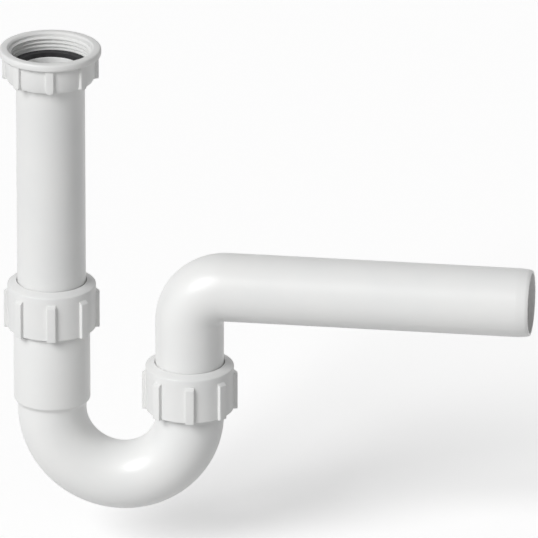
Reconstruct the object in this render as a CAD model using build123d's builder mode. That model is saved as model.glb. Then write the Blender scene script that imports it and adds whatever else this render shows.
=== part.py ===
"""Tubular sink trap: a flanged inlet tube telescopes into a U-bend, and an elbow with a long outlet pipe
swivels in the bend's other end. Ribbed nuts clamp both joints on tapered seals, and a ribbed union nut
with a gasket fastens the inlet to a sink waste.

Millimetres. The origin is the middle of the gasket's top face, where the waste seats. +Z runs up the
inlet's axis and +X runs towards the outlet.
"""

import os

from build123d import *

# Tube
TUBE_OD = 40.0
TUBE_WALL = 2.5
TUBE_LENGTH = 180.0  # of the inlet tube, from the flange's top to its lower end
TUBE_END_CHAMFER = 1.0

# Inlet flange, gasket and union nut
FLANGE_WIDTH = 2.3  # how far the flange stands out from the tube
FLANGE_THICKNESS = 3.0
GASKET_THICKNESS = 3.0
GASKET_BORE_STEP = 0.5  # the gasket's bore is wider than the tube's by this radius
INLET_THREAD_HEIGHT = 1.4  # radial depth of the union nut's thread
INLET_THREAD_LENGTH = 9.0
INLET_THREAD_LEAD = 1.0  # chamfer at the thread's mouth
INLET_NUT_WALL = 2.1
INLET_NUT_FLOOR = 2.9
INLET_TAPER_WIDTH = 1.2  # the nut's body narrows by this radius below
INLET_TAPER_HEIGHT = 2.8
INLET_RIM_WIDTH = 3.3  # how far the rim stands out from the nut's body
INLET_RIM_HEIGHT = 4.5
INLET_RIB_HEIGHT = 1.8
INLET_RIB_WIDTH = 4.8

# Clamped joints, the same at the inlet and at the outlet
CLAMP_NUT_HEIGHT = 29.0
CLAMP_NUT_TOP = 4.0
CLAMP_TOP_SLOPE = 2.3  # the top falls by this height from the hole to the outside
CLAMP_NUT_WALL = 1.8
CLAMP_RIB_HEIGHT = 2.1
CLAMP_RIB_WIDTH = 5.2
CLAMP_RIB_SETBACK = 6.3  # from the nut's highest edge down to the ribs
CLAMP_RIB_SLOPE = 1.6  # height of the ribs' sloped tops
CLAMP_THREAD_HEIGHT = 1.7
CLAMP_THREAD_LEAD = 0.8
WASHER_THICKNESS = 1.5
SEAL_HEAD_HEIGHT = 2.0  # the part of the seal that stands above the socket's mouth
SEAL_CONE_DEPTH = 5.0
SEAL_CONE_WIDTH = 1.2  # radial taper of the seal's cone
SOCKET_WALL = 1.95

# Ribs of every nut
RIB_COUNT = 8
RIB_CLOCKING = 8.0  # degrees from +X to the first rib: how the nuts come to stand when they are tight

# Trap bend
TUBE_INSERTION = 41.0  # how deep the inlet tube stands in its socket
INLET_SOCKET_DEPTH = 64.0
OUTLET_SOCKET_DEPTH = 16.0
SOCKET_FLOOR = 1.8  # from the stop inside a socket to the step outside it
SOCKET_STEP_HEIGHT = 2.5
INLET_LEG_RUN = 4.0  # straight tube between the step and the bend
OUTLET_LEG_RUN = 5.2
BEND_INNER_RADIUS = 20.5

# Outlet bend
ELBOW_INNER_RADIUS = 2.0
ARM_RISE = 47.4  # from the outlet clamp nut's top face up to the pipe's axis
ARM_REACH = 200.0  # from the spigot's axis to the pipe's end
ARM_CHAMFER_LENGTH = 7.0
ARM_CHAMFER_DEPTH = 0.6
ARM_LIP_LENGTH = 1.8  # a second, steeper chamfer at the very end
ARM_LIP_DEPTH = 0.5

# Clearances
SLIP_CLEARANCE = 0.35  # tube in socket, radial
NUT_BORE_CLEARANCE = 0.4  # nut round tube, radial
THREAD_CLEARANCE = 0.3  # flange, washer or seal inside a nut, radial
SEAL_CLEARANCE = 0.05
FACE_GAP = 0.1  # between flat faces that bear on each other across a joint
END_GAP = 0.3  # between a spigot's end and the stop below it

# Edge radii
SOFT_EDGE = 1.2
FINE_EDGE = 0.5
SHARP_EDGE = 0.25

# Radii that follow from the sizes above
tube_r = TUBE_OD / 2
bore_r = tube_r - TUBE_WALL
flange_r = tube_r + FLANGE_WIDTH
inlet_plain_r = flange_r + THREAD_CLEARANCE + FACE_GAP
inlet_thread_r = inlet_plain_r + INLET_THREAD_HEIGHT
inlet_body_r = inlet_thread_r + INLET_NUT_WALL
nut_bore_r = tube_r + NUT_BORE_CLEARANCE
socket_bore_r = tube_r + SLIP_CLEARANCE
socket_r = socket_bore_r + SOCKET_WALL
cone_r = socket_bore_r + SEAL_CONE_WIDTH
clamp_thread_r = socket_r + CLAMP_THREAD_HEIGHT
clamp_plain_r = socket_r + THREAD_CLEARANCE
clamp_body_r = clamp_thread_r + CLAMP_NUT_WALL
bend_r = tube_r + BEND_INNER_RADIUS
elbow_r = tube_r + ELBOW_INNER_RADIUS

# Heights and places that follow from the sizes above
flange_top_z = -GASKET_THICKNESS
flange_bottom_z = flange_top_z - FLANGE_THICKNESS
tube_end_z = flange_top_z - TUBE_LENGTH
inlet_mouth_z = tube_end_z + TUBE_INSERTION
socket_tail = SOCKET_FLOOR + SOCKET_STEP_HEIGHT
bend_z = inlet_mouth_z - INLET_SOCKET_DEPTH - socket_tail - INLET_LEG_RUN
outlet_x = 2 * bend_r
outlet_mouth_z = bend_z + OUTLET_LEG_RUN + socket_tail + OUTLET_SOCKET_DEPTH
seal_top = SEAL_HEAD_HEIGHT + SEAL_CLEARANCE
washer_bottom = seal_top + SEAL_CLEARANCE
washer_top = washer_bottom + WASHER_THICKNESS
clamp_ceiling = washer_top + FACE_GAP
clamp_top = clamp_ceiling + CLAMP_NUT_TOP
clamp_bottom = clamp_top - CLAMP_NUT_HEIGHT
arm_z = outlet_mouth_z + clamp_top + ARM_RISE
arm_end_x = outlet_x + ARM_REACH

# Each joint's seat is a plane at the middle of the socket's mouth, or of the gasket's top face
inlet_seat = Plane(origin=(0, 0, 0))
inlet_clamp_seat = Plane(origin=(0, 0, inlet_mouth_z))
outlet_clamp_seat = Plane(origin=(outlet_x, 0, outlet_mouth_z))


def section(seat):
    """The plane of a turned profile: radius from the seat's axis, then height above the seat."""
    return Plane(origin=seat.origin, x_dir=seat.x_dir, z_dir=-seat.y_dir)


def turned(seat, corners):
    """A turned piece on the seat's axis. Each corner is its radius, its height and its rounding."""
    with BuildPart() as piece:
        with BuildSketch(section(seat)):
            with BuildLine():
                FilletPolyline(
                    [(radius, height) for radius, height, _ in corners],
                    radius=[rounding for _, _, rounding in corners],
                    close=True,
                )
            make_face()
        revolve(axis=Axis(seat.origin, seat.z_dir))
    return piece.part


def grip_ribs(seat, rib_width, side):
    """Ribs round a nut: a turned ring with the ribs' side view, cut into strips with rounded crests."""
    root_r = min(radius for radius, _, _ in side)
    crest_r = max(radius for radius, _, _ in side)
    bottom = min(height for _, height, _ in side)
    top = max(height for _, height, _ in side)
    ring = turned(seat, side)
    with BuildPart() as ribs:
        with BuildSketch(seat.offset(bottom)):
            with PolarLocations(crest_r, RIB_COUNT, start_angle=RIB_CLOCKING):
                Rectangle(2 * (crest_r - root_r) + rib_width, rib_width)
        extrude(amount=top - bottom)
        add(ring, mode=Mode.INTERSECT)
        upright_edges = ribs.edges().filter_by(Axis.Z)
        crest_edges = upright_edges.filter_by(
            lambda edge: (edge.center() - seat.origin).cross(seat.z_dir).length > crest_r - SHARP_EDGE
        )
        fillet(crest_edges, FINE_EDGE)
    return ribs.part


def clamp_nut(seat):
    """Ribbed nut that squeezes a tapered seal into a socket. Its threaded mouth points down."""
    body = turned(
        seat,
        [
            (nut_bore_r, clamp_ceiling, 0),
            (nut_bore_r, clamp_top, FINE_EDGE),
            (clamp_body_r, clamp_top - CLAMP_TOP_SLOPE, FINE_EDGE),
            (clamp_body_r, clamp_bottom, FINE_EDGE),
            (clamp_thread_r + CLAMP_THREAD_LEAD, clamp_bottom, 0),
            (clamp_thread_r, clamp_bottom + CLAMP_THREAD_LEAD, 0),
            (clamp_thread_r, 0, 0),
            (clamp_plain_r, 0, 0),
            (clamp_plain_r, clamp_ceiling, 0),
        ],
    )
    root_r = clamp_body_r - CLAMP_RIB_HEIGHT / 2
    crest_r = clamp_body_r + CLAMP_RIB_HEIGHT
    rib_top = clamp_top - CLAMP_RIB_SETBACK
    ribs = grip_ribs(
        seat,
        CLAMP_RIB_WIDTH,
        [
            (root_r, clamp_bottom, 0),
            (crest_r, clamp_bottom, 0),
            (crest_r, rib_top - CLAMP_RIB_SLOPE, 0),
            (clamp_body_r, rib_top, 0),
            (root_r, rib_top, 0),
        ],
    )
    with BuildPart() as nut:
        add(body)
        add(ribs)
    return nut.part


def clamp_washer(seat):
    """Flat friction washer, which lets the nut turn without twisting the seal."""
    inner_r = tube_r + SLIP_CLEARANCE
    return turned(
        seat,
        [
            (inner_r, washer_bottom, SHARP_EDGE),
            (socket_r, washer_bottom, SHARP_EDGE),
            (socket_r, washer_top, SHARP_EDGE),
            (inner_r, washer_top, SHARP_EDGE),
        ],
    )


def clamp_seal(seat):
    """Tapered rubber ring: a flat head on the socket's rim and a cone in its mouth."""
    inner_r = tube_r + SEAL_CLEARANCE
    return turned(
        seat,
        [
            (inner_r, -SEAL_CONE_DEPTH, 0),
            (socket_bore_r - SEAL_CLEARANCE, -SEAL_CONE_DEPTH, 0),
            (cone_r - SEAL_CLEARANCE, SEAL_CLEARANCE, 0),
            (socket_r - THREAD_CLEARANCE, SEAL_CLEARANCE, SHARP_EDGE),
            (socket_r - THREAD_CLEARANCE, seal_top, FINE_EDGE),
            (inner_r, seal_top, 0),
        ],
    )


def socket(seat, depth, leg_run):
    """Socket with a conical mouth and a stop inside, stepped down to a straight leg of tube."""
    step_top = -depth - SOCKET_FLOOR
    step_bottom = step_top - SOCKET_STEP_HEIGHT
    leg_bottom = step_bottom - leg_run
    return turned(
        seat,
        [
            (bore_r, leg_bottom, 0),
            (tube_r, leg_bottom, 0),
            (tube_r, step_bottom, SOFT_EDGE),
            (socket_r, step_top, FINE_EDGE),
            (socket_r, 0, SHARP_EDGE),
            (cone_r, 0, 0),
            (socket_bore_r, -SEAL_CONE_DEPTH, 0),
            (socket_bore_r, -depth, 0),
            (bore_r, -depth, FINE_EDGE),
        ],
    )


# Gasket: a flat ring on the inlet tube's flange
gasket_bore_r = bore_r + GASKET_BORE_STEP
inlet_gasket = turned(
    inlet_seat,
    [
        (gasket_bore_r, -GASKET_THICKNESS, SHARP_EDGE),
        (flange_r, -GASKET_THICKNESS, SHARP_EDGE),
        (flange_r, 0, SHARP_EDGE),
        (gasket_bore_r, 0, SHARP_EDGE),
    ],
)

# Inlet tube: its flange hangs in the union nut and its lower end stands in the trap bend's socket
inlet_tube = turned(
    inlet_seat,
    [
        (bore_r, flange_top_z, FINE_EDGE),
        (flange_r, flange_top_z, SHARP_EDGE),
        (flange_r, flange_bottom_z, FINE_EDGE),
        (tube_r, flange_bottom_z, SHARP_EDGE),
        (tube_r, tube_end_z + TUBE_END_CHAMFER, FINE_EDGE),
        (tube_r - TUBE_END_CHAMFER, tube_end_z, SHARP_EDGE),
        (bore_r, tube_end_z, SHARP_EDGE),
    ],
)

# Union nut: the rim is at its threaded mouth, and its floor bears on the flange from below
inlet_mouth_top = INLET_THREAD_LENGTH + INLET_THREAD_LEAD
inlet_ceiling = flange_bottom_z - FACE_GAP
inlet_nut_bottom = inlet_ceiling - INLET_NUT_FLOOR
inlet_rim_bottom = inlet_mouth_top - INLET_RIM_HEIGHT
inlet_rim_r = inlet_body_r + INLET_RIM_WIDTH
inlet_taper_top = inlet_nut_bottom + INLET_TAPER_HEIGHT
inlet_root_r = inlet_body_r - INLET_RIB_HEIGHT / 2
inlet_crest_r = inlet_body_r + INLET_RIB_HEIGHT
inlet_nut_body = turned(
    inlet_seat,
    [
        (nut_bore_r, inlet_nut_bottom, FINE_EDGE),
        (inlet_body_r - INLET_TAPER_WIDTH, inlet_nut_bottom, FINE_EDGE),
        (inlet_body_r, inlet_taper_top, FINE_EDGE),
        (inlet_body_r, inlet_rim_bottom, FINE_EDGE),
        (inlet_rim_r, inlet_rim_bottom, SOFT_EDGE),
        (inlet_rim_r, inlet_mouth_top, SOFT_EDGE),
        (inlet_thread_r + INLET_THREAD_LEAD, inlet_mouth_top, SHARP_EDGE),
        (inlet_thread_r, INLET_THREAD_LENGTH, 0),
        (inlet_thread_r, 0, 0),
        (inlet_plain_r, 0, 0),
        (inlet_plain_r, inlet_ceiling, 0),
        (nut_bore_r, inlet_ceiling, 0),
    ],
)
inlet_nut_ribs = grip_ribs(
    inlet_seat,
    INLET_RIB_WIDTH,
    [
        (inlet_root_r - INLET_TAPER_WIDTH, inlet_nut_bottom, 0),
        (inlet_crest_r, inlet_nut_bottom, SOFT_EDGE),
        (inlet_crest_r, inlet_rim_bottom, 0),
        (inlet_root_r, inlet_rim_bottom, 0),
        (inlet_root_r, inlet_taper_top, 0),
    ],
)
with BuildPart() as inlet_nut:
    add(inlet_nut_body)
    add(inlet_nut_ribs)

# Trap bend: a half turn of tube between the long inlet socket and the short outlet socket
inlet_socket = socket(inlet_clamp_seat, INLET_SOCKET_DEPTH, INLET_LEG_RUN)
outlet_socket = socket(outlet_clamp_seat, OUTLET_SOCKET_DEPTH, OUTLET_LEG_RUN)
with BuildPart() as trap_bend:
    with BuildSketch(Plane.XY.offset(bend_z)):
        Circle(tube_r)
        Circle(bore_r, mode=Mode.SUBTRACT)
    revolve(axis=Axis((bend_r, 0, bend_z), (0, -1, 0)), revolution_arc=180)
    add(inlet_socket)
    add(outlet_socket)

# Outlet bend: a spigot, a tight elbow and the outlet pipe, whose end is chamfered to enter a wall socket
spigot_end_z = outlet_mouth_z - OUTLET_SOCKET_DEPTH + END_GAP
with BuildPart() as outlet_bend:
    with BuildLine():
        FilletPolyline(
            [(outlet_x, 0, spigot_end_z), (outlet_x, 0, arm_z), (arm_end_x, 0, arm_z)],
            radius=elbow_r,
        )
    with BuildSketch(Plane(origin=(outlet_x, 0, spigot_end_z))):
        Circle(tube_r)
        Circle(bore_r, mode=Mode.SUBTRACT)
    sweep()
    spigot_face = outlet_bend.faces().sort_by(Axis.Z)[0]
    chamfer(spigot_face.outer_wire().edges(), TUBE_END_CHAMFER)
    pipe_face = outlet_bend.faces().sort_by(Axis.X)[-1]
    chamfer(pipe_face.outer_wire().edges(), ARM_CHAMFER_DEPTH, ARM_CHAMFER_LENGTH, reference=pipe_face)
    lip_face = outlet_bend.faces().sort_by(Axis.X)[-1]
    chamfer(lip_face.outer_wire().edges(), ARM_LIP_DEPTH, ARM_LIP_LENGTH, reference=lip_face)

pieces = {
    "inlet_nut": inlet_nut.part,
    "inlet_gasket": inlet_gasket,
    "inlet_tube": inlet_tube,
    "inlet_clamp_nut": clamp_nut(inlet_clamp_seat),
    "inlet_clamp_washer": clamp_washer(inlet_clamp_seat),
    "inlet_clamp_seal": clamp_seal(inlet_clamp_seat),
    "trap_bend": trap_bend.part,
    "outlet_clamp_nut": clamp_nut(outlet_clamp_seat),
    "outlet_clamp_washer": clamp_washer(outlet_clamp_seat),
    "outlet_clamp_seal": clamp_seal(outlet_clamp_seat),
    "outlet_bend": outlet_bend.part,
}

os.makedirs("parts", exist_ok=True)
for name, piece in pieces.items():
    piece.label = name
    export_step(piece, f"parts/{name}.step")

print(f"inlet thread radius {inlet_thread_r:.2f}, clamp thread radius {clamp_thread_r:.2f}")
print(f"inlet mouth z {inlet_mouth_z:.2f}, bend z {bend_z:.2f}, outlet mouth z {outlet_mouth_z:.2f}")
print(f"outlet x {outlet_x:.2f}, pipe axis z {arm_z:.2f}, pipe end x {arm_end_x:.2f}")
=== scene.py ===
# %% [markdown]
# # A tubular sink trap, finished as white moulded plastic
# The trap carries waste water from a sink through a U-bend that always stays full. Its solids are packed
# already, with their joints, so this lesson only gives them their finished surfaces: rounded edges, screw
# threads, the faint seam of the mould, and lights that show them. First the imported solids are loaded.
# Nothing moves them afterwards, and every new piece is modelled in the same metres and the same frame.

# %% Load the solids
import math

import bmesh
import bpy
from mathutils import Matrix, Vector


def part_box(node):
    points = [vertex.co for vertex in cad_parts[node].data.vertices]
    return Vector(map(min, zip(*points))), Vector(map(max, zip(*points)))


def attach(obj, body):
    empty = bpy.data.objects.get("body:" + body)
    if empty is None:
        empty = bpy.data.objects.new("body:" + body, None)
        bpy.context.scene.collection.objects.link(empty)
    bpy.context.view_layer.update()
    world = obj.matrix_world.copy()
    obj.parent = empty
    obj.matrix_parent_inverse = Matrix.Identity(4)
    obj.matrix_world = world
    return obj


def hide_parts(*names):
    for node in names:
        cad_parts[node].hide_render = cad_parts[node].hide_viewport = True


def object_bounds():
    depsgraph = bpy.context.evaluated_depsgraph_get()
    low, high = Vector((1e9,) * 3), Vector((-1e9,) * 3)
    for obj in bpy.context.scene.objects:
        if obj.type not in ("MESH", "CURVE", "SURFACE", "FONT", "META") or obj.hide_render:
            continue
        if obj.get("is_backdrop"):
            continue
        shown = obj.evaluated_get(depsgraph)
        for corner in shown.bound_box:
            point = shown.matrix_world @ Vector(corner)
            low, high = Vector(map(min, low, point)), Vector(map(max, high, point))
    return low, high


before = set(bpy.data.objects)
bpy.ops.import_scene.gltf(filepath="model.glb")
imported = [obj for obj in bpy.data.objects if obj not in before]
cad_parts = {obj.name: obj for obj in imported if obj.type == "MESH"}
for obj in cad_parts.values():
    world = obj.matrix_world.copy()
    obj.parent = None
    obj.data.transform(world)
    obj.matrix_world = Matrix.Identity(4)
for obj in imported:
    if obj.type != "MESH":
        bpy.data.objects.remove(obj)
cad_low, cad_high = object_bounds()
MM = 0.001
print("solids:", ", ".join(sorted(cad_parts)))

# %% [markdown]
# ## Sizes
# A new piece has to lie exactly where its solid lies, so the outer sizes are read from the boxes of the
# solids. They could be typed in again, but then a change of the model would leave the pieces behind. A
# round wall is loaded as many small flats, which makes its box a hair too small, so each size is rounded to
# a twentieth of a millimetre. What a box can't show, such as the thickness of a wall or the play between
# two pieces, is named in the step that needs it.

# %% Read the outer sizes from the solids
SNAPS_PER_MM = 20


def snapped(value):
    """A length in metres, rounded to a twentieth of a millimetre."""
    return round(value / MM * SNAPS_PER_MM) / SNAPS_PER_MM * MM


tube_low, tube_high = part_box("inlet_tube")
bend_low, bend_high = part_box("trap_bend")
outlet_low, outlet_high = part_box("outlet_bend")
tube_r = snapped(outlet_high.y)
outlet_x = snapped(outlet_low.x + tube_r)
pipe_z = snapped(outlet_high.z - tube_r)
pipe_end_x = snapped(outlet_high.x)
spigot_end_z = snapped(outlet_low.z)
bend_r = outlet_x / 2
bend_z = snapped(bend_low.z + bend_r + tube_r)
socket_r = snapped(bend_high.y)
inlet_mouth_z = snapped(bend_high.z)
print(f"tube radius {tube_r / MM:.2f} mm, legs {outlet_x / MM:.2f} mm apart")

# %% [markdown]
# ## Turned shapes
# Nearly everything here is round about an axis, as if it came off a lathe. Such a shape could be stacked
# from cylinders, but its steps and edges would then be hard to round. Instead, a half section of a few
# corners is drawn once and spun round the axis. Where a full turn meets its own start, the doubled vertices
# are welded.

# %% Draw a section and spin it
WELD = 0.002 * MM
UP = Vector((0, 0, 1))


def draw_section(bm, corners, closed):
    """The half section of a turned shape, as vertices and edges. A corner is radius, height and rounding."""
    verts = [bm.verts.new((radius, 0.0, height)) for radius, height, _ in corners]
    ends = verts[1:] + verts[:1] if closed else verts[1:]
    edges = [bm.edges.new(pair) for pair in zip(verts, ends)]
    return verts + edges


def spin(bm, geom, angle, steps, axis=UP, centre=(0, 0, 0), rise=0.0):
    """Sweep a section round an axis, rising by the same height at each step. Returns the last section."""
    swept = bmesh.ops.spin(
        bm, geom=geom, cent=centre, axis=axis, dvec=UP * rise, angle=angle, steps=steps,
        use_merge=False, use_normal_flip=False, use_duplicate=False,
    )
    return [part for part in swept["geom_last"] if not isinstance(part, bmesh.types.BMFace)]


def weld(bm):
    """Join vertices that lie on each other, as where a full turn meets its own start."""
    bmesh.ops.remove_doubles(bm, verts=bm.verts, dist=WELD)


print(f"vertices closer than {WELD / MM:.3f} mm are welded")

# %% [markdown]
# ## Rounded edges
# The edges of moulded plastic are never quite sharp, and light catches on each of them. A Bevel modifier
# could round them all alike, but the seat of a seal is crisper than a rim that a hand grips. So each corner
# of a section names its own rounding, and its ring of edges is bevelled by that radius. All turned shapes
# have the same number of steps, so that the rings of two shapes can be welded.

# %% Round the corners of a turned shape
TURN_STEPS = 96
ROUND_STEPS = 3
SOFT_EDGE = 1.2 * MM
FINE_EDGE = 0.5 * MM
CRISP_EDGE = 0.25 * MM
SHARP = 0.0


def soften(bm, edges, rounding):
    """Round some edges, with their new ends on the edges that lead away from them."""
    bmesh.ops.bevel(
        bm, geom=edges, offset=rounding, offset_type="OFFSET", segments=ROUND_STEPS, profile=0.5,
        affect="EDGES", clamp_overlap=True, loop_slide=True, material=-1,
    )


def round_corners(bm, corners):
    """Round the ring at each corner that has a rounding."""
    for radius, height, rounding in corners:
        if not rounding:
            continue
        on_corner = {
            vert
            for vert in bm.verts
            if abs(vert.co.xy.length - radius) < WELD and abs(vert.co.z - height) < WELD
        }
        soften(bm, [edge for edge in bm.edges if all(vert in on_corner for vert in edge.verts)], rounding)


def turned(corners, closed=True):
    """A turned shape round the Z axis, in a mesh of its own."""
    bm = bmesh.new()
    spin(bm, draw_section(bm, corners, closed), math.tau, TURN_STEPS)
    weld(bm)
    round_corners(bm, corners)
    return bm


print(f"turned shapes have {TURN_STEPS} steps and {ROUND_STEPS} steps in each rounding")

# %% [markdown]
# ## Material nodes
# A finish is a small graph of nodes: coordinates feed noises, and the noises feed colour, gloss and relief.
# Such a graph could be put together by hand in the shader editor. Here one short function makes each kind
# of node, so that a material reads like a recipe. All noises use object coordinates, which are metres, so a
# grain has the same size on every piece.

# %% Helpers for material nodes
def new_material(name):
    """An empty material. Returns it with its node tree, its shader and its object coordinates."""
    material = bpy.data.materials.new(name)
    material.use_nodes = True
    tree = material.node_tree
    shader = tree.nodes["Principled BSDF"]
    coordinates = tree.nodes.new("ShaderNodeTexCoord").outputs["Object"]
    return material, tree, shader, coordinates


def noise(tree, coordinates, grain, detail=3.0):
    """A noise whose lumps are about one grain across, in metres."""
    node = tree.nodes.new("ShaderNodeTexNoise")
    node.inputs["Scale"].default_value = 1.0 / grain
    node.inputs["Detail"].default_value = detail
    tree.links.new(coordinates, node.inputs["Vector"])
    return node.outputs["Fac"]


def remap(tree, value, low, high, from_low=0.3, from_high=0.7):
    """Stretch a noise's middle range to the range from low to high."""
    node = tree.nodes.new("ShaderNodeMapRange")
    node.inputs["From Min"].default_value = from_low
    node.inputs["From Max"].default_value = from_high
    node.inputs["To Min"].default_value = low
    node.inputs["To Max"].default_value = high
    tree.links.new(value, node.inputs["Value"])
    return node.outputs["Result"]


print("helpers: new_material, noise, remap")

# %% [markdown]
# ## Colour and relief
# Two more helpers turn a noise into something to see. One mixes two tints by it, and the other takes it as
# a height and tilts the light by it, which is called a bump. The relief could be modelled too, but a grain
# of half a millimetre would need millions of faces.

# %% Helpers for colour and relief
MIX_FIRST_COLOUR = 6
MIX_SECOND_COLOUR = 7
MIX_RESULT_COLOUR = 2


def tint(tree, factor, dark, light):
    """A colour between two tints. A mix node's colour sockets come after those for numbers and vectors."""
    node = tree.nodes.new("ShaderNodeMix")
    node.data_type = "RGBA"
    tree.links.new(factor, node.inputs["Factor"])
    node.inputs[MIX_FIRST_COLOUR].default_value = (*dark, 1.0)
    node.inputs[MIX_SECOND_COLOUR].default_value = (*light, 1.0)
    return node.outputs[MIX_RESULT_COLOUR]


def bump(tree, height, strength, depth, below=None):
    """A bump of some depth in metres, on top of another bump."""
    node = tree.nodes.new("ShaderNodeBump")
    node.inputs["Strength"].default_value = strength
    node.inputs["Distance"].default_value = depth
    tree.links.new(height, node.inputs["Height"])
    if below is not None:
        tree.links.new(below, node.inputs["Normal"])
    return node.outputs["Normal"]


print("helpers: tint, bump")

# %% [markdown]
# ## Mould seam
# The two bends come out of a mould with two halves, which leaves a faint seam in their middle plane, where
# Y is zero. A thin ridge could be modelled there, but it would be too fine to show as a shape. The seam is
# a bump that reads the distance from that plane, so it follows the bends all round, and it stays in place
# from every side.

# %% A height for the seam
SEAM_HALF_WIDTH = 0.22 * MM
SEAM_DEPTH = 0.12 * MM


def mould_seam(tree, coordinates):
    """A height of 1 on the mould's parting plane, Y = 0, that falls to 0 beside it."""
    axes = tree.nodes.new("ShaderNodeSeparateXYZ")
    tree.links.new(coordinates, axes.inputs["Vector"])
    distance = tree.nodes.new("ShaderNodeMath")
    distance.operation = "ABSOLUTE"
    tree.links.new(axes.outputs["Y"], distance.inputs[0])
    return remap(tree, distance.outputs["Value"], low=1.0, high=0.0, from_low=0.0, from_high=SEAM_HALF_WIDTH)


print(f"the seam is {2 * SEAM_HALF_WIDTH / MM:.2f} mm wide")

# %% [markdown]
# ## White plastic
# The tubes and nuts are polypropylene: white, satin, a little waxy, and never quite even. One flat colour
# would look like paint, so four noises work together: one tints the white by a hair, one varies the gloss
# as a mould's surface does, one raises a fine grain, and one adds slow waves. Only the bends get the seam.

# %% White plastic for the tubes and the nuts
COOL_WHITE = (0.78, 0.785, 0.78)
WARM_WHITE = (0.81, 0.81, 0.80)
NUT_COOL_WHITE = (0.75, 0.755, 0.75)
NUT_WARM_WHITE = (0.785, 0.785, 0.775)
PLASTIC_IOR = 1.49
CLOUD_GRAIN = 34 * MM
FLOW_GRAIN = 7 * MM
SKIN_GRAIN = 0.5 * MM
SKIN_DEPTH = 0.05 * MM
WAVE_GRAIN = 9 * MM
WAVE_DEPTH = 0.3 * MM


def white_plastic(name, cool, warm, roughness, seam):
    """Satin white polypropylene. Its roughness has a lowest and a highest value."""
    material, tree, shader, coordinates = new_material(name)
    cloud = remap(tree, noise(tree, coordinates, CLOUD_GRAIN), low=0.0, high=1.0)
    tree.links.new(tint(tree, cloud, cool, warm), shader.inputs["Base Color"])
    flow = noise(tree, coordinates, FLOW_GRAIN, detail=4.0)
    tree.links.new(remap(tree, flow, *roughness), shader.inputs["Roughness"])
    skin = noise(tree, coordinates, SKIN_GRAIN, detail=2.0)
    wave = noise(tree, coordinates, WAVE_GRAIN, detail=2.0)
    relief = bump(tree, skin, strength=0.10, depth=SKIN_DEPTH)
    relief = bump(tree, wave, strength=0.12, depth=WAVE_DEPTH, below=relief)
    if seam:
        relief = bump(tree, mould_seam(tree, coordinates), strength=0.8, depth=SEAM_DEPTH, below=relief)
    tree.links.new(relief, shader.inputs["Normal"])
    shader.inputs["IOR"].default_value = PLASTIC_IOR
    return material


bend_white = white_plastic("bend_white", COOL_WHITE, WARM_WHITE, roughness=(0.30, 0.40), seam=True)
tube_white = white_plastic("tube_white", COOL_WHITE, WARM_WHITE, roughness=(0.28, 0.38), seam=False)
nut_white = white_plastic("nut_white", NUT_COOL_WHITE, NUT_WARM_WHITE, roughness=(0.36, 0.48), seam=False)
print("plastics:", bend_white.name, tube_white.name, nut_white.name)

# %% [markdown]
# ## Black rubber
# The gasket and the two tapered seals are black rubber: dull, with a dusty grain. One even black would look
# like a hole, so a noise lifts it a little in places, and the same noise makes these places duller.

# %% Black rubber
RUBBER_BLACK = (0.012, 0.012, 0.013)
RUBBER_DUST = (0.03, 0.03, 0.031)
RUBBER_ROUGHNESS = (0.55, 0.72)
DUST_GRAIN = 3 * MM
RUBBER_GRAIN = 0.4 * MM
RUBBER_DEPTH = 0.06 * MM


def black_rubber(name):
    """Dull black moulded rubber with a fine grain."""
    material, tree, shader, coordinates = new_material(name)
    dust = remap(tree, noise(tree, coordinates, DUST_GRAIN, detail=4.0), low=0.0, high=1.0)
    tree.links.new(tint(tree, dust, RUBBER_BLACK, RUBBER_DUST), shader.inputs["Base Color"])
    roughness = remap(tree, dust, *RUBBER_ROUGHNESS, from_low=0.0, from_high=1.0)
    tree.links.new(roughness, shader.inputs["Roughness"])
    grain = bump(tree, noise(tree, coordinates, RUBBER_GRAIN), strength=0.25, depth=RUBBER_DEPTH)
    tree.links.new(grain, shader.inputs["Normal"])
    return material


rubber = black_rubber("black_rubber")
print("rubber:", rubber.name)

# %% [markdown]
# ## Washer plastic
# The friction washers are plain polyethylene, greyer and a little see-through. A translucent shader could
# show that, but a washer this thin has hardly any depth to see, so it is given a soft opaque grey instead.

# %% Washer grey
WASHER_DARK = (0.56, 0.59, 0.60)
WASHER_LIGHT = (0.64, 0.66, 0.66)
WASHER_ROUGHNESS = (0.38, 0.50)
MOTTLE_GRAIN = 5 * MM
WASHER_GRAIN = 0.6 * MM
WASHER_DEPTH = 0.05 * MM


def washer_grey(name):
    """Plain polyethylene, pale grey and slightly mottled."""
    material, tree, shader, coordinates = new_material(name)
    mottle = remap(tree, noise(tree, coordinates, MOTTLE_GRAIN), low=0.0, high=1.0)
    tree.links.new(tint(tree, mottle, WASHER_DARK, WASHER_LIGHT), shader.inputs["Base Color"])
    roughness = remap(tree, mottle, *WASHER_ROUGHNESS, from_low=0.0, from_high=1.0)
    tree.links.new(roughness, shader.inputs["Roughness"])
    grain = bump(tree, noise(tree, coordinates, WASHER_GRAIN), strength=0.12, depth=WASHER_DEPTH)
    tree.links.new(grain, shader.inputs["Normal"])
    return material


washer = washer_grey("washer_grey")
print("washers:", washer.name)

# %% [markdown]
# ## Solids that keep their shape
# The gasket, the seals and the washers are plain rings, mostly hidden in the nuts. They could be modelled
# anew like the other pieces, but these five solids already have the right shape, so they only take their
# materials.

# %% Give five solids their materials
kept_solids = {
    "inlet_gasket": rubber,
    "inlet_clamp_seal": rubber,
    "outlet_clamp_seal": rubber,
    "inlet_clamp_washer": washer,
    "outlet_clamp_washer": washer,
}
for node, material in kept_solids.items():
    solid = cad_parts[node]
    solid.data.materials.clear()
    solid.data.materials.append(material)
print("kept solids:", ", ".join(kept_solids))

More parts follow.
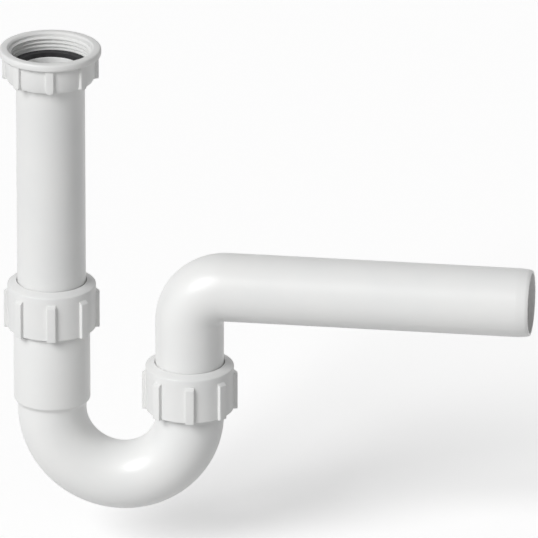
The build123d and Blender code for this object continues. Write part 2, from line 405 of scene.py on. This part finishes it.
# %% [markdown]
# ## From a mesh to a piece
# A finished mesh needs a few last steps before it belongs to the trap: doubles are merged, the faces are
# turned outwards, smooth shading is switched on with crisp lines only at real corners, the piece is hung on
# the body it moves with, and the solid it stands for is hidden. All this could be done by hand in Edit Mode,
# but one function does it in the same way for every piece.

# %% Turn a mesh into a piece of the trap
CREASE = math.radians(34)
scene = bpy.context.scene


def make_piece(name, bm, node, body, material):
    """Finish a mesh and hang it on its body, in place of its solid."""
    weld(bm)
    bmesh.ops.recalc_face_normals(bm, faces=bm.faces)
    for face in bm.faces:
        face.smooth = True
    open_edges = sum(not edge.is_manifold for edge in bm.edges)
    mesh = bpy.data.meshes.new(name)
    bm.to_mesh(mesh)
    bm.free()
    mesh.set_sharp_from_angle(angle=CREASE)
    mesh.materials.append(material)
    piece = bpy.data.objects.new(name, mesh)
    scene.collection.objects.link(piece)
    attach(piece, body)
    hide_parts(node)
    print(f"{name}: {len(mesh.polygons)} faces, {open_edges} open edges, moves with {body}")


print(f"edges of more than {math.degrees(CREASE):.0f} degrees stay crisp")

# %% [markdown]
# ## Inlet tube
# The inlet tube is the plainest piece: a straight pipe with a flange at its top, where the gasket lies, and
# a small chamfer at its lower end, which helps it into the socket. It could be a cylinder with another one
# cut out of it, but a spun section has clean rings at its ends, which are easy to round. The whole section
# is seven corners.

# %% Inlet tube
TUBE_WALL = 2.5 * MM
FLANGE_THICKNESS = 3.0 * MM
TUBE_END_CHAMFER = 1.0 * MM
bore_r = tube_r - TUBE_WALL
flange_r = snapped(tube_high.y)
flange_top = snapped(tube_high.z)
flange_bottom = flange_top - FLANGE_THICKNESS
tube_end = snapped(tube_low.z)
inlet_tube_section = [
    (bore_r, flange_top, FINE_EDGE),
    (flange_r, flange_top, CRISP_EDGE),
    (flange_r, flange_bottom, FINE_EDGE),
    (tube_r, flange_bottom, CRISP_EDGE),
    (tube_r, tube_end + TUBE_END_CHAMFER, FINE_EDGE),
    (tube_r - TUBE_END_CHAMFER, tube_end, CRISP_EDGE),
    (bore_r, tube_end, CRISP_EDGE),
]
tube_bm = turned(inlet_tube_section)
make_piece("straight_tube", tube_bm, "inlet_tube", "inlet_tube", tube_white)

# %% [markdown]
# ## Places of the ribs
# Each nut has eight ribs for wet hands, evenly round it. Their faces could be picked by hand in Edit Mode.
# Here a face counts as a rib's when it faces outwards and lies close to a rib's direction, so one test fits
# nuts of any size.

# %% Find the faces of the ribs
RIB_COUNT = 8
RIB_CLOCKING = math.radians(8)
RIB_PITCH = math.tau / RIB_COUNT
WALL_FACING = 0.5
FLANK_FACING = 0.9


def rib_directions(point):
    """The directions outwards along the nearest rib and across it."""
    ribs_past = round((math.atan2(point.y, point.x) - RIB_CLOCKING) / RIB_PITCH)
    angle = RIB_CLOCKING + ribs_past * RIB_PITCH
    return Vector((math.cos(angle), math.sin(angle), 0)), Vector((-math.sin(angle), math.cos(angle), 0))


def on_rib(face, rib_width, bottom, top):
    """Whether a face of the outer wall lies where a rib comes out."""
    middle = face.calc_center_median()
    outwards, across = rib_directions(middle)
    in_strip = bottom < middle.z < top and abs(middle.dot(across)) < rib_width / 2
    return in_strip and face.normal.dot(outwards) > WALL_FACING


def is_flank(face):
    """Whether a face is the side of a rib."""
    _, across = rib_directions(face.calc_center_median())
    return abs(face.normal.dot(across)) > FLANK_FACING


print(f"{RIB_COUNT} ribs a nut, one every {math.degrees(RIB_PITCH):.0f} degrees")

# %% [markdown]
# ## Grip ribs
# Ribs could be separate bars pushed into the nut, but their feet would then cut through the wall as loose
# shells. Here every rib has its own strip of faces on the wall, which is pulled outwards, so that nut and
# ribs are one skin. The strip may run over a taper at the nut's foot: its points all go to the same crest,
# so the rib stays upright there. A clamp nut's ribs get sloped tops. The union nut's ribs run up into its
# rim, and their feet are curved: the points at a foot's sides rise as on half an ellipse.

# %% Pull the ribs out
def pull_ribs(bm, body_r, crest_r, rib_width, bottom, top, top_slope, foot_rise, foot_rounding):
    """Pull the ribs out of a nut's wall, slope their tops, curve their feet and round their crests."""
    strips = [face for face in bm.faces if on_rib(face, rib_width, bottom, top)]
    pulled = bmesh.ops.extrude_face_region(bm, geom=strips)["geom"]
    bmesh.ops.delete(bm, geom=strips, context="FACES")
    crest = [part for part in pulled if isinstance(part, bmesh.types.BMVert)]
    heads = {vert for vert in crest if abs(vert.co.z - top) < WELD}
    feet = {vert for vert in crest if abs(vert.co.z - bottom) < WELD}
    for vert in crest:
        outwards, across = rib_directions(vert.co)
        sideways = vert.co.dot(across)
        height = vert.co.z
        if vert in heads:
            height -= top_slope
        elif vert in feet:
            height += foot_rise * (1 - math.sqrt(max(0.0, 1 - (2 * sideways / rib_width) ** 2)))
        vert.co = outwards * math.sqrt(crest_r**2 - sideways**2) + across * sideways + UP * height
    foot = [edge for edge in bm.edges if all(vert in feet for vert in edge.verts)]
    head = [edge for edge in bm.edges if all(vert in heads for vert in edge.verts)]
    soften(bm, foot, foot_rounding)
    if top_slope > 0:
        soften(bm, head, CRISP_EDGE)
    bm.normal_update()
    sides = [
        edge
        for edge in bm.edges
        if sum(is_flank(face) for face in edge.link_faces) == 1
        and min(vert.co.xy.length for vert in edge.verts) > body_r + CRISP_EDGE
    ]
    soften(bm, sides, FINE_EDGE)
    print(f"{RIB_COUNT} ribs pulled out of {len(strips)} faces")


print(f"rib crests are rounded by {FINE_EDGE / MM:.2f} mm")

# %% [markdown]
# ## Ribbed nuts
# A nut is turned like the tube, but not in even steps. Its section is spun in sixteen turns, a narrow one
# for each rib and a wide one for each gap, so that every rib finds a strip of just its own width on the
# wall. The strips could also be cut into a wall that was spun evenly, but that would leave slivers beside
# them.

# %% Spin a nut with strips for its ribs
RIB_STEPS = 6
GAP_STEPS = 8


def ribbed_nut(section, body_r, crest_r, rib_width, bottom, top, top_slope, foot_rise, foot_rounding):
    """A nut spun with a strip for each rib, with its corners rounded and its ribs pulled out."""
    bm = bmesh.new()
    rib_angle = 2 * math.asin(rib_width / 2 / body_r)
    first_side = Matrix.Rotation(RIB_CLOCKING - rib_angle / 2, 3, "Z")
    last = draw_section(bm, section, closed=True)
    bmesh.ops.rotate(bm, cent=(0, 0, 0), matrix=first_side, verts=bm.verts)
    for _ in range(RIB_COUNT):
        last = spin(bm, last, rib_angle, RIB_STEPS)
        last = spin(bm, last, RIB_PITCH - rib_angle, GAP_STEPS)
    weld(bm)
    round_corners(bm, section)
    bmesh.ops.recalc_face_normals(bm, faces=bm.faces)
    pull_ribs(bm, body_r, crest_r, rib_width, bottom, top, top_slope, foot_rise, foot_rounding)
    return bm


print(f"a nut is spun in {RIB_COUNT * (RIB_STEPS + GAP_STEPS)} steps")

# %% [markdown]
# ## Screw threads
# A thread is a ridge that climbs as it goes round. Blender's Screw modifier could make it, but the spin
# operator does the same when each step also rises a little, and it stays in the nut's own mesh. The ridge's
# foot is sunk a tenth of a millimetre into the wall, so that no gap shows, and its first and last steps
# fade into the wall, as a moulded thread runs out. All threads are right-handed, so a nut that turns
# anticlockwise, seen from its closed end, comes off.

# %% Spin a thread
THREAD_STEPS = 72
FADE_STEPS = 14
THREAD_FOOT = 0.1 * MM


def add_thread(bm, wall_r, crest_r, start, pitch, turns, foot_width, crest_width):
    """A helical ridge from a wall to a crest, outside the wall or inside it, with faded ends."""
    foot_r = wall_r + math.copysign(THREAD_FOOT, wall_r - crest_r)
    offsets = (-foot_width / 2, -crest_width / 2, crest_width / 2, foot_width / 2)
    first = draw_section(bm, [(foot_r, start + offset, SHARP) for offset in offsets], closed=True)
    steps = round(turns * THREAD_STEPS)
    last = first
    for step in range(steps + 1):
        if step:
            last = spin(bm, last, math.tau / THREAD_STEPS, 1, rise=pitch / THREAD_STEPS)
        corners = [part for part in last if isinstance(part, bmesh.types.BMVert)]
        share = min(1.0, (step + 1) / FADE_STEPS, (steps - step + 1) / FADE_STEPS)
        for vert in sorted(corners, key=lambda corner: corner.co.z)[1:3]:
            vert.co.xy = vert.co.xy.normalized() * (foot_r + (crest_r - foot_r) * share)
    for end in (first, last):
        bm.faces.new([part for part in end if isinstance(part, bmesh.types.BMVert)])


print(f"threads have {THREAD_STEPS} steps a turn and fade over {FADE_STEPS} of them")

# %% [markdown]
# ## Union nut
# The union nut hangs on the inlet tube's flange and screws on to the sink's waste. A rim runs round its
# mouth, its body tapers at the foot, and inside is a fine 1 1/2 inch pipe thread, which climbs 2.309 mm a
# turn. Its ribs have round feet like tongues, and their tops are raised a little into the rim, so that no
# gap can show. The thread could be a bump on the wall, but a look into the mouth shows its steps, so it is
# modelled.

# %% Union nut
NUT_BORE_CLEARANCE = 0.4 * MM
INLET_NUT_WALL = 2.1 * MM
INLET_TAPER_WIDTH = 1.2 * MM
INLET_TAPER_HEIGHT = 2.8 * MM
INLET_RIB_HEIGHT = 1.8 * MM
INLET_RIB_WIDTH = 4.8 * MM
INLET_RIB_FOOT = 2.2 * MM
INLET_RIM_HEIGHT = 4.5 * MM
INLET_THREAD_R = 24.1 * MM
INLET_THREAD_HEIGHT = 1.4 * MM
INLET_THREAD_PITCH = 2.309 * MM
INLET_THREAD_TURNS = 3.1
INLET_THREAD_START = 1.2 * MM
INLET_THREAD_FOOT = 2.1 * MM
INLET_THREAD_CREST = 0.4 * MM
INLET_THREAD_LEAD = 1.0 * MM
RIB_IN_RIM = 0.3 * MM
FACE_GAP = 0.1 * MM
SEAT_Z = 0.0
nut_bore_r = tube_r + NUT_BORE_CLEARANCE
nut_low, nut_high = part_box("inlet_nut")
rim_r = snapped(nut_high.x)
rim_top = snapped(nut_high.z)
rim_bottom = rim_top - INLET_RIM_HEIGHT
union_bottom = snapped(nut_low.z)
union_body_r = INLET_THREAD_R + INLET_NUT_WALL
union_plain_r = INLET_THREAD_R - INLET_THREAD_HEIGHT
union_shoulder = flange_bottom - FACE_GAP
union_nut_section = [
    (nut_bore_r, union_bottom, FINE_EDGE),
    (union_body_r - INLET_TAPER_WIDTH, union_bottom, SHARP),
    (union_body_r, union_bottom + INLET_TAPER_HEIGHT, SHARP),
    (union_body_r, rim_bottom, SHARP),
    (rim_r, rim_bottom, SOFT_EDGE),
    (rim_r, rim_top, SOFT_EDGE),
    (INLET_THREAD_R + INLET_THREAD_LEAD, rim_top, CRISP_EDGE),
    (INLET_THREAD_R, rim_top - INLET_THREAD_LEAD, SHARP),
    (INLET_THREAD_R, SEAT_Z, SHARP),
    (union_plain_r, SEAT_Z, SHARP),
    (union_plain_r, union_shoulder, SHARP),
    (nut_bore_r, union_shoulder, SHARP),
]
union_crest_r = union_body_r + INLET_RIB_HEIGHT
union_bm = ribbed_nut(
    union_nut_section, union_body_r, union_crest_r, INLET_RIB_WIDTH, union_bottom, rim_bottom,
    top_slope=-RIB_IN_RIM, foot_rise=INLET_RIB_FOOT, foot_rounding=FINE_EDGE,
)
add_thread(
    union_bm, INLET_THREAD_R, union_plain_r, INLET_THREAD_START, INLET_THREAD_PITCH, INLET_THREAD_TURNS,
    INLET_THREAD_FOOT, INLET_THREAD_CREST,
)
make_piece("union_nut", union_bm, "inlet_nut", "inlet_nut", nut_white)

# %% [markdown]
# ## Clamp nuts
# Two equal nuts squeeze the tapered seals. Each has a sloped top with a hole for the tube, ribs that start
# below its shoulder, and a coarse thread of 4 mm pitch inside. When a nut is turned by hand it climbs off
# its socket, so its thread and the socket's have to stay between each other's turns. The nut's ridge
# therefore starts half a pitch off the socket's. The second nut could be a linked copy of the first, but
# each stands for a solid of its own and turns by itself, so one function makes both.

# %% Clamp nuts
CLAMP_THREAD_R = 24.0 * MM
CLAMP_NUT_WALL = 1.8 * MM
CLAMP_NUT_HEIGHT = 29.0 * MM
CLAMP_NUT_TOP = 4.0 * MM
CLAMP_TOP_SLOPE = 2.3 * MM
CLAMP_NUT_BELOW_MOUTH = 21.3 * MM
CLAMP_RIB_HEIGHT = 2.1 * MM
CLAMP_RIB_WIDTH = 5.2 * MM
CLAMP_RIB_SETBACK = 6.3 * MM
CLAMP_RIB_SLOPE = 1.6 * MM
CLAMP_THREAD_PITCH = 4.0 * MM
CLAMP_THREAD_TURNS = 3.0
CLAMP_THREAD_HEIGHT = 1.4 * MM
CLAMP_THREAD_START = -14.0 * MM
CLAMP_THREAD_FOOT = 2.2 * MM
CLAMP_THREAD_CREST = 0.9 * MM
CLAMP_THREAD_LEAD = 0.8 * MM
THREAD_CLEARANCE = 0.3 * MM
clamp_body_r = CLAMP_THREAD_R + CLAMP_NUT_WALL
clamp_plain_r = socket_r + THREAD_CLEARANCE


def clamp_nut(name, node, axis_x):
    """A ribbed clamp nut on the axis at some X, up from its solid's lowest point."""
    bottom = snapped(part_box(node)[0].z)
    mouth = bottom + CLAMP_NUT_BELOW_MOUTH
    top = bottom + CLAMP_NUT_HEIGHT
    ceiling = top - CLAMP_NUT_TOP
    rib_top = top - CLAMP_RIB_SETBACK
    section = [
        (nut_bore_r, ceiling, SHARP),
        (nut_bore_r, top, FINE_EDGE),
        (clamp_body_r, top - CLAMP_TOP_SLOPE, FINE_EDGE),
        (clamp_body_r, rib_top, SHARP),
        (clamp_body_r, bottom + FINE_EDGE, SHARP),
        (clamp_body_r - FINE_EDGE, bottom, SHARP),
        (CLAMP_THREAD_R + CLAMP_THREAD_LEAD, bottom, SHARP),
        (CLAMP_THREAD_R, bottom + CLAMP_THREAD_LEAD, SHARP),
        (CLAMP_THREAD_R, mouth, SHARP),
        (clamp_plain_r, mouth, SHARP),
        (clamp_plain_r, ceiling, SHARP),
    ]
    bm = ribbed_nut(
        section, clamp_body_r, clamp_body_r + CLAMP_RIB_HEIGHT, CLAMP_RIB_WIDTH, bottom, rib_top,
        top_slope=CLAMP_RIB_SLOPE, foot_rise=0.0, foot_rounding=CRISP_EDGE,
    )
    add_thread(
        bm, CLAMP_THREAD_R, CLAMP_THREAD_R - CLAMP_THREAD_HEIGHT,
        mouth + CLAMP_THREAD_START - CLAMP_THREAD_PITCH / 2, CLAMP_THREAD_PITCH, CLAMP_THREAD_TURNS,
        CLAMP_THREAD_FOOT, CLAMP_THREAD_CREST,
    )
    bmesh.ops.translate(bm, vec=(axis_x, 0, 0), verts=bm.verts)
    make_piece(name, bm, node, node, nut_white)


clamp_nut("clamp_nut_at_inlet", "inlet_clamp_nut", axis_x=0.0)
clamp_nut("clamp_nut_at_outlet", "outlet_clamp_nut", axis_x=outlet_x)

# %% [markdown]
# ## Sockets
# The trap bend is moulded in one piece: a long socket for the inlet tube, half a turn of tube, and a short
# socket for the outlet bend. A socket has a floor where the tube stops, a cone for the seal at its mouth,
# and the clamp nut's thread outside. It could be cut out of a rod with a Boolean modifier, but that leaves
# uneven rings. So it is turned as an open shell that ends in two rings, one outside and one inside, where
# the bend is welded on.

# %% Sockets
SOCKET_FLOOR = 1.8 * MM
SOCKET_STEP_HEIGHT = 2.5 * MM
SEAL_CONE_DEPTH = 5.0 * MM
SEAL_CONE_WIDTH = 1.2 * MM
SLIP_CLEARANCE = 0.35 * MM
socket_bore_r = tube_r + SLIP_CLEARANCE


def socket(mouth, depth):
    """A socket from its leg's inner ring, over its mouth and down to the outer ring, with its thread."""
    step_top = mouth - depth - SOCKET_FLOOR
    step_bottom = step_top - SOCKET_STEP_HEIGHT
    part = turned(
        [
            (bore_r, bend_z, SHARP),
            (bore_r, mouth - depth, FINE_EDGE),
            (socket_bore_r, mouth - depth, SHARP),
            (socket_bore_r, mouth - SEAL_CONE_DEPTH, SHARP),
            (socket_bore_r + SEAL_CONE_WIDTH, mouth, SHARP),
            (socket_r, mouth, CRISP_EDGE),
            (socket_r, step_top, FINE_EDGE),
            (tube_r, step_bottom, SOFT_EDGE),
            (tube_r, bend_z, SHARP),
        ],
        closed=False,
    )
    add_thread(
        part, socket_r, socket_r + CLAMP_THREAD_HEIGHT, mouth + CLAMP_THREAD_START, CLAMP_THREAD_PITCH,
        CLAMP_THREAD_TURNS, CLAMP_THREAD_FOOT, CLAMP_THREAD_CREST,
    )
    return part


print(f"socket bore radius {socket_bore_r / MM:.2f} mm")

# %% [markdown]
# ## U-bend
# The bend between the sockets is half a turn of tube. A curve with a round bevel could draw it, but only
# its outer wall. Here two circles, one for each side of the wall, are spun half round. All rings have the
# same number of steps, so their ends meet vertex on vertex and weld to one closed skin.

# %% U-bend
INLET_SOCKET_DEPTH = 64.0 * MM
OUTLET_SOCKET_DEPTH = 16.0 * MM
BEND_STEPS = 48
outlet_mouth_z = snapped(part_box("outlet_clamp_nut")[0].z) + CLAMP_NUT_BELOW_MOUTH


def add_mesh(bm, part, matrix):
    """Put another mesh into this one, moved by a matrix."""
    bmesh.ops.transform(part, matrix=matrix, verts=part.verts)
    carrier = bpy.data.meshes.new("carrier")
    part.to_mesh(carrier)
    part.free()
    bm.from_mesh(carrier)
    bpy.data.meshes.remove(carrier)


def add_elbow(bm, start_x, level, radius, angle, axis_y, steps):
    """Tube that turns out of a vertical leg, as an outer and an inner wall."""
    start = Matrix.Translation((start_x, 0, level))
    for wall_r in (tube_r, bore_r):
        ring = bmesh.ops.create_circle(bm, radius=wall_r, segments=TURN_STEPS, matrix=start)["verts"]
        edges = {edge for vert in ring for edge in vert.link_edges}
        spin(bm, ring + list(edges), angle, steps, axis=(0, axis_y, 0), centre=(start_x + radius, 0, level))


trap_bm = bmesh.new()
add_mesh(trap_bm, socket(inlet_mouth_z, INLET_SOCKET_DEPTH), Matrix.Identity(4))
add_mesh(trap_bm, socket(outlet_mouth_z, OUTLET_SOCKET_DEPTH), Matrix.Translation((outlet_x, 0, 0)))
add_elbow(trap_bm, 0.0, bend_z, bend_r, angle=math.pi, axis_y=-1, steps=BEND_STEPS)
make_piece("u_bend", trap_bm, "trap_bend", "trap_bend", bend_white)

# %% [markdown]
# ## Outlet bend
# The outlet bend is made the same way: a short spigot that stands in the socket, a tight quarter turn, and
# the long pipe that goes to the wall. A curve could draw all three in one go, but not the chamfers. The
# pipe is turned upright like everything else and then laid on its side. A long, shallow chamfer and a
# short, steeper one at its end let it slide into a rubber sleeve.

# %% Spigot, elbow and pipe
ELBOW_INNER_RADIUS = 2.0 * MM
PIPE_CHAMFER_LENGTH = 7.0 * MM
PIPE_CHAMFER_DEPTH = 0.6 * MM
PIPE_LIP_LENGTH = 1.8 * MM
PIPE_LIP_DEPTH = 0.5 * MM
ELBOW_STEPS = 24
elbow_r = tube_r + ELBOW_INNER_RADIUS
elbow_z = pipe_z - elbow_r
elbow_x = outlet_x + elbow_r
pipe_length = pipe_end_x - elbow_x
lip_r = tube_r - PIPE_CHAMFER_DEPTH * (1 - PIPE_LIP_LENGTH / PIPE_CHAMFER_LENGTH)
spigot = turned(
    [
        (bore_r, elbow_z, SHARP),
        (bore_r, spigot_end_z, CRISP_EDGE),
        (tube_r - TUBE_END_CHAMFER, spigot_end_z, CRISP_EDGE),
        (tube_r, spigot_end_z + TUBE_END_CHAMFER, FINE_EDGE),
        (tube_r, elbow_z, SHARP),
    ],
    closed=False,
)
pipe = turned(
    [
        (bore_r, 0, SHARP),
        (bore_r, pipe_length, CRISP_EDGE),
        (tube_r - PIPE_CHAMFER_DEPTH - PIPE_LIP_DEPTH, pipe_length, CRISP_EDGE),
        (lip_r, pipe_length - PIPE_LIP_LENGTH, CRISP_EDGE),
        (tube_r, pipe_length - PIPE_CHAMFER_LENGTH, CRISP_EDGE),
        (tube_r, 0, SHARP),
    ],
    closed=False,
)
lay_down = Matrix.Translation((elbow_x, 0, pipe_z)) @ Matrix.Rotation(math.pi / 2, 4, "Y")
outlet_bm = bmesh.new()
add_mesh(outlet_bm, spigot, Matrix.Translation((outlet_x, 0, 0)))
add_mesh(outlet_bm, pipe, lay_down)
add_elbow(outlet_bm, outlet_x, elbow_z, elbow_r, angle=math.pi / 2, axis_y=1, steps=ELBOW_STEPS)
make_piece("outlet_pipe", outlet_bm, "outlet_bend", "outlet_bend", bend_white)

# %% [markdown]
# ## Camera
# The view is from the front, a little from above and from the outlet's side, through a very long lens, so
# that upright edges stay upright. The drawing turns each piece towards the viewer by itself, which no
# camera can do, so this angle is the one that fits the nuts' ovals best while the pipe's open end still
# shows.

# %% Camera
YAW = math.radians(8)
ELEVATION = math.radians(22)
FRAME_WIDTH = 311.9 * MM
LENS = 1000.0
SENSOR = 36.0
CLIP_END = 100.0
VIEW_TARGET = Vector((127.6, 0.0, -120.9)) * MM
towards_camera = Vector((
    math.sin(YAW) * math.cos(ELEVATION),
    -math.cos(YAW) * math.cos(ELEVATION),
    math.sin(ELEVATION),
))
camera_data = bpy.data.cameras.new("camera")
camera_data.lens = LENS
camera_data.sensor_width = SENSOR
camera_data.clip_end = CLIP_END
camera = bpy.data.objects.new("camera", camera_data)
camera.location = VIEW_TARGET + towards_camera * FRAME_WIDTH * LENS / SENSOR
camera.rotation_euler = (-towards_camera).to_track_quat("-Z", "Y").to_euler()
scene.collection.objects.link(camera)
scene.camera = camera
print(f"camera {camera.location.length:.2f} m away")

# %% [markdown]
# ## Floor
# The trap hangs from a sink, so the floor lies a little below it and only takes its soft shadow. A backdrop
# that curves up behind the part could hide the horizon, but from this height the camera sees nothing but
# floor, so a large flat plane will do.

# %% Floor
FLOOR_DROP = 30 * MM
FLOOR_SIZE = 30.0
floor_bm = bmesh.new()
bmesh.ops.create_grid(floor_bm, x_segments=1, y_segments=1, size=FLOOR_SIZE)
bmesh.ops.translate(floor_bm, vec=(0, 0, cad_low.z - FLOOR_DROP), verts=floor_bm.verts)
floor_mesh = bpy.data.meshes.new("floor")
floor_bm.to_mesh(floor_mesh)
floor_bm.free()
floor = bpy.data.objects.new("floor", floor_mesh)
scene.collection.objects.link(floor)
floor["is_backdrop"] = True
print(f"floor {FLOOR_DROP / MM:.0f} mm below the bend")

# %% [markdown]
# ## Pale floor
# A white floor would throw too much light up at white plastic. This one is pale grey, and where the camera
# looks at it directly it glows a little towards white, which keeps the background bright and the shadow in
# place.

# %% Pale floor with a glow
FLOOR_GLOW = 0.46
FLOOR_GREY = (0.70, 0.70, 0.70, 1.0)
FLOOR_ROUGHNESS = 0.9
WHITE = (1.0, 1.0, 1.0, 1.0)


def seen_directly(tree):
    """1 on rays that show the background: from the camera, or by way of gloss or glass."""
    path = tree.nodes.new("ShaderNodeLightPath")
    seen = path.outputs["Is Camera Ray"]
    for kind in ("Is Glossy Ray", "Is Transmission Ray"):
        either = tree.nodes.new("ShaderNodeMath")
        either.operation = "MAXIMUM"
        tree.links.new(seen, either.inputs[0])
        tree.links.new(path.outputs[kind], either.inputs[1])
        seen = either.outputs["Value"]
    return seen


floor_material = bpy.data.materials.new("pale_floor")
floor_material.use_nodes = True
floor_tree = floor_material.node_tree
floor_shader = floor_tree.nodes["Principled BSDF"]
floor_shader.inputs["Base Color"].default_value = FLOOR_GREY
floor_shader.inputs["Roughness"].default_value = FLOOR_ROUGHNESS
floor_shader.inputs["Emission Color"].default_value = WHITE
floor_glow = floor_tree.nodes.new("ShaderNodeMath")
floor_glow.operation = "MULTIPLY"
floor_glow.inputs[1].default_value = FLOOR_GLOW
floor_tree.links.new(seen_directly(floor_tree), floor_glow.inputs[0])
floor_tree.links.new(floor_glow.outputs["Value"], floor_shader.inputs["Emission Strength"])
floor_mesh.materials.append(floor_material)
print("floor glow:", FLOOR_GLOW)

# %% [markdown]
# ## Background
# The world round the scene is white to the camera and to mirrors, and dimmer as a light. It could be one
# even grey, but then the plastic would mirror grey, and one even white would wash out all shading.

# %% World
WORLD_LIGHT = 0.24
world = bpy.data.worlds.new("white_studio")
scene.world = world
world.use_nodes = True
world_tree = world.node_tree
world_strength = world_tree.nodes.new("ShaderNodeMapRange")
world_strength.inputs["To Min"].default_value = WORLD_LIGHT
world_strength.inputs["To Max"].default_value = 1.0
world_tree.links.new(seen_directly(world_tree), world_strength.inputs["Value"])
background = world_tree.nodes["Background"]
background.inputs["Color"].default_value = WHITE
world_tree.links.new(world_strength.outputs["Result"], background.inputs["Strength"])
print("world light:", WORLD_LIGHT)

# %% [markdown]
# ## Lamps
# White plastic on white needs light with a direction, or its round sides vanish. A large soft lamp stands
# high on the left, where the drawing has its light too, and a weak one on the right only lifts the shadows.
# Area lamps would do, but their light falls off over the trap's length, so both are sun lamps with a wide
# angle.

# %% Lamps
def add_lamp(name, place, softness, strength):
    """A soft, even lamp that shines from one side on to the middle of the view."""
    lamp_data = bpy.data.lights.new(name, "SUN")
    lamp_data.angle = math.radians(softness)
    lamp_data.energy = strength
    lamp = bpy.data.objects.new(name, lamp_data)
    lamp.location = VIEW_TARGET + Vector(place)
    lamp.rotation_euler = (-Vector(place)).to_track_quat("-Z", "Y").to_euler()
    scene.collection.objects.link(lamp)


add_lamp("key_lamp", place=(-0.65, -0.85, 0.75), softness=30, strength=2.5)
add_lamp("fill_lamp", place=(0.9, -0.7, 0.25), softness=60, strength=0.12)
scene.view_settings.view_transform = "Standard"

# %% [markdown]
# ## Size of the finished pieces
# The finished pieces have to stay within the box of the solids. That could be judged by eye, but a number
# shows a hair's difference too, so both boxes are printed, one under the other.

# %% Print the two boxes
visual_low, visual_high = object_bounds()
sizes = {"cad": [list(cad_low), list(cad_high)], "visual": [list(visual_low), list(visual_high)]}
for name, (low, high) in sizes.items():
    print(name, "size in mm:", [round((end - start) / MM, 2) for start, end in zip(low, high)])
